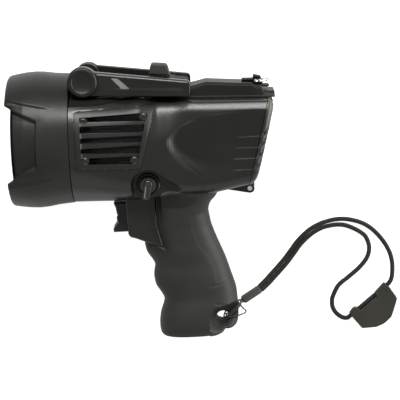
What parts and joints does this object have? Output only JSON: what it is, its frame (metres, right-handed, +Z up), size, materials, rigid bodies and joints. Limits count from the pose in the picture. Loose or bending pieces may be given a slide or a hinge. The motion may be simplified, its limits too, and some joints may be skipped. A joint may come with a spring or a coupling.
{
  "type": "handheld searchlight",
  "caption": "Pistol-grip handheld searchlight with a scalloped rubber bezel, louvred sides, folding stand, trigger, hinged tail door and wrist lanyard.",
  "frame": {"origin": "middle of the outline on the surface that the light lies on", "axes": "+Z up from that surface, +X from the lens towards the tail, +Y from the grip towards the stand; the light lies on its right side"},
  "size_m": [0.2525, 0.1903, 0.0892],
  "materials": {
    "battery_wrap": "dark printed sleeve, left bare",
    "black_anodised": "black anodised",
    "black_nylon": "fine moulded grain",
    "black_screw": "black oxide",
    "bright_steel": "bright",
    "circuit_board": "green solder mask",
    "clear_polycarbonate": "clear",
    "contact_brass": "plain",
    "cord_braid": "twisted",
    "grey_ferrule": "semi-matt",
    "grey_stripe": "grey",
    "grip_rubber": "matt",
    "led_phosphor": "yellow",
    "silicone_seal": "matt",
    "soft_rubber": "satin",
    "strap_braid": "braided",
    "vapour_chrome": "polished"
  },
  "bodies": {
    "light": {"bezel": "soft_rubber", "lens": "clear_polycarbonate", "lens_gasket": "silicone_seal", "reflector": "vapour_chrome", "led_emitter": "led_phosphor", "led_board": "circuit_board", "heat_sink": "black_anodised", "driver_board": "circuit_board", "housing_left": "black_nylon", "housing_right": "black_nylon", "top_cover": "black_nylon", "grille_left": "black_nylon", "grille_right": "black_nylon", "front_contact_plate": "contact_brass", "door_hinge_pin": "bright_steel", "latch_bracket": "black_screw", "latch_screw_1": "bright_steel", "latch_screw_2": "bright_steel", "stand_pivot_pin": "bright_steel", "stand_knob_left": "black_nylon", "stand_knob_right": "black_nylon", "trigger_spring": "bright_steel", "trigger_switch": "circuit_board", "mode_dial_ring": "black_nylon", "grip_sleeve": "grip_rubber", "grip_heel": "black_nylon", "grille_screw_left_1": "black_screw", "grille_screw_left_2": "black_screw", "grille_screw_left_3": "black_screw", "grille_screw_left_4": "black_screw", "grille_screw_right_1": "black_screw", "grille_screw_right_2": "black_screw", "grille_screw_right_3": "black_screw", "grille_screw_right_4": "black_screw", "housing_screw_1": "black_screw", "battery_cell_1": "battery_wrap", "housing_screw_2": "black_screw", "battery_cell_2": "battery_wrap", "housing_screw_3": "black_screw", "battery_cell_3": "battery_wrap", "housing_screw_4": "black_screw", "battery_cell_4": "battery_wrap", "lanyard_cord": "cord_braid", "lanyard_ferrule": "grey_ferrule", "lanyard_strap": "strap_braid", "lanyard_slider": "black_nylon"},
    "stand": {"stand_frame": "black_nylon", "stand_stripe_left": "grey_stripe", "stand_stripe_right": "grey_stripe", "stand_tab": "soft_rubber"},
    "trigger": {"trigger": "black_nylon"},
    "mode_lever": {"mode_lever": "black_nylon"},
    "tail_door": {"tail_door": "black_nylon", "door_contact_plate": "contact_brass"},
    "latch_knob": {"latch_knob": "bright_steel"}
  },
  "joints": [
    {"name": "stand_fold", "type": "hinge", "parent": "light", "child": "stand", "pos_m": [-0.0342, 0.08171, 0.04683], "axis": [0.0841, -0.1252, 0.9886], "range_deg": [0, 140]},
    {"name": "trigger_pull", "type": "slide", "parent": "light", "child": "trigger", "axis": [0.9964, 0, -0.0847], "range_m": [0, 0.004], "stiffness_N_per_m": 500, "springref_m": -0.002, "deforming": ["trigger_spring"]},
    {"name": "mode_select", "type": "hinge", "parent": "light", "child": "mode_lever", "pos_m": [0.00494, 0.01072, 0.0598], "axis": [0.0841, -0.1252, 0.9886], "range_deg": [-40, 40]},
    {"name": "tail_door_open", "type": "hinge", "parent": "light", "child": "tail_door", "pos_m": [0.0686, 0.00463, 0.02833], "axis": [-0.0841, 0.1252, -0.9886], "range_deg": [0, 100]},
    {"name": "latch_knob_turn", "type": "hinge", "parent": "light", "child": "latch_knob", "pos_m": [0.08049, 0.07308, 0.03599], "axis": [0.9964, 0, -0.0847], "continuous": true}
  ]
}
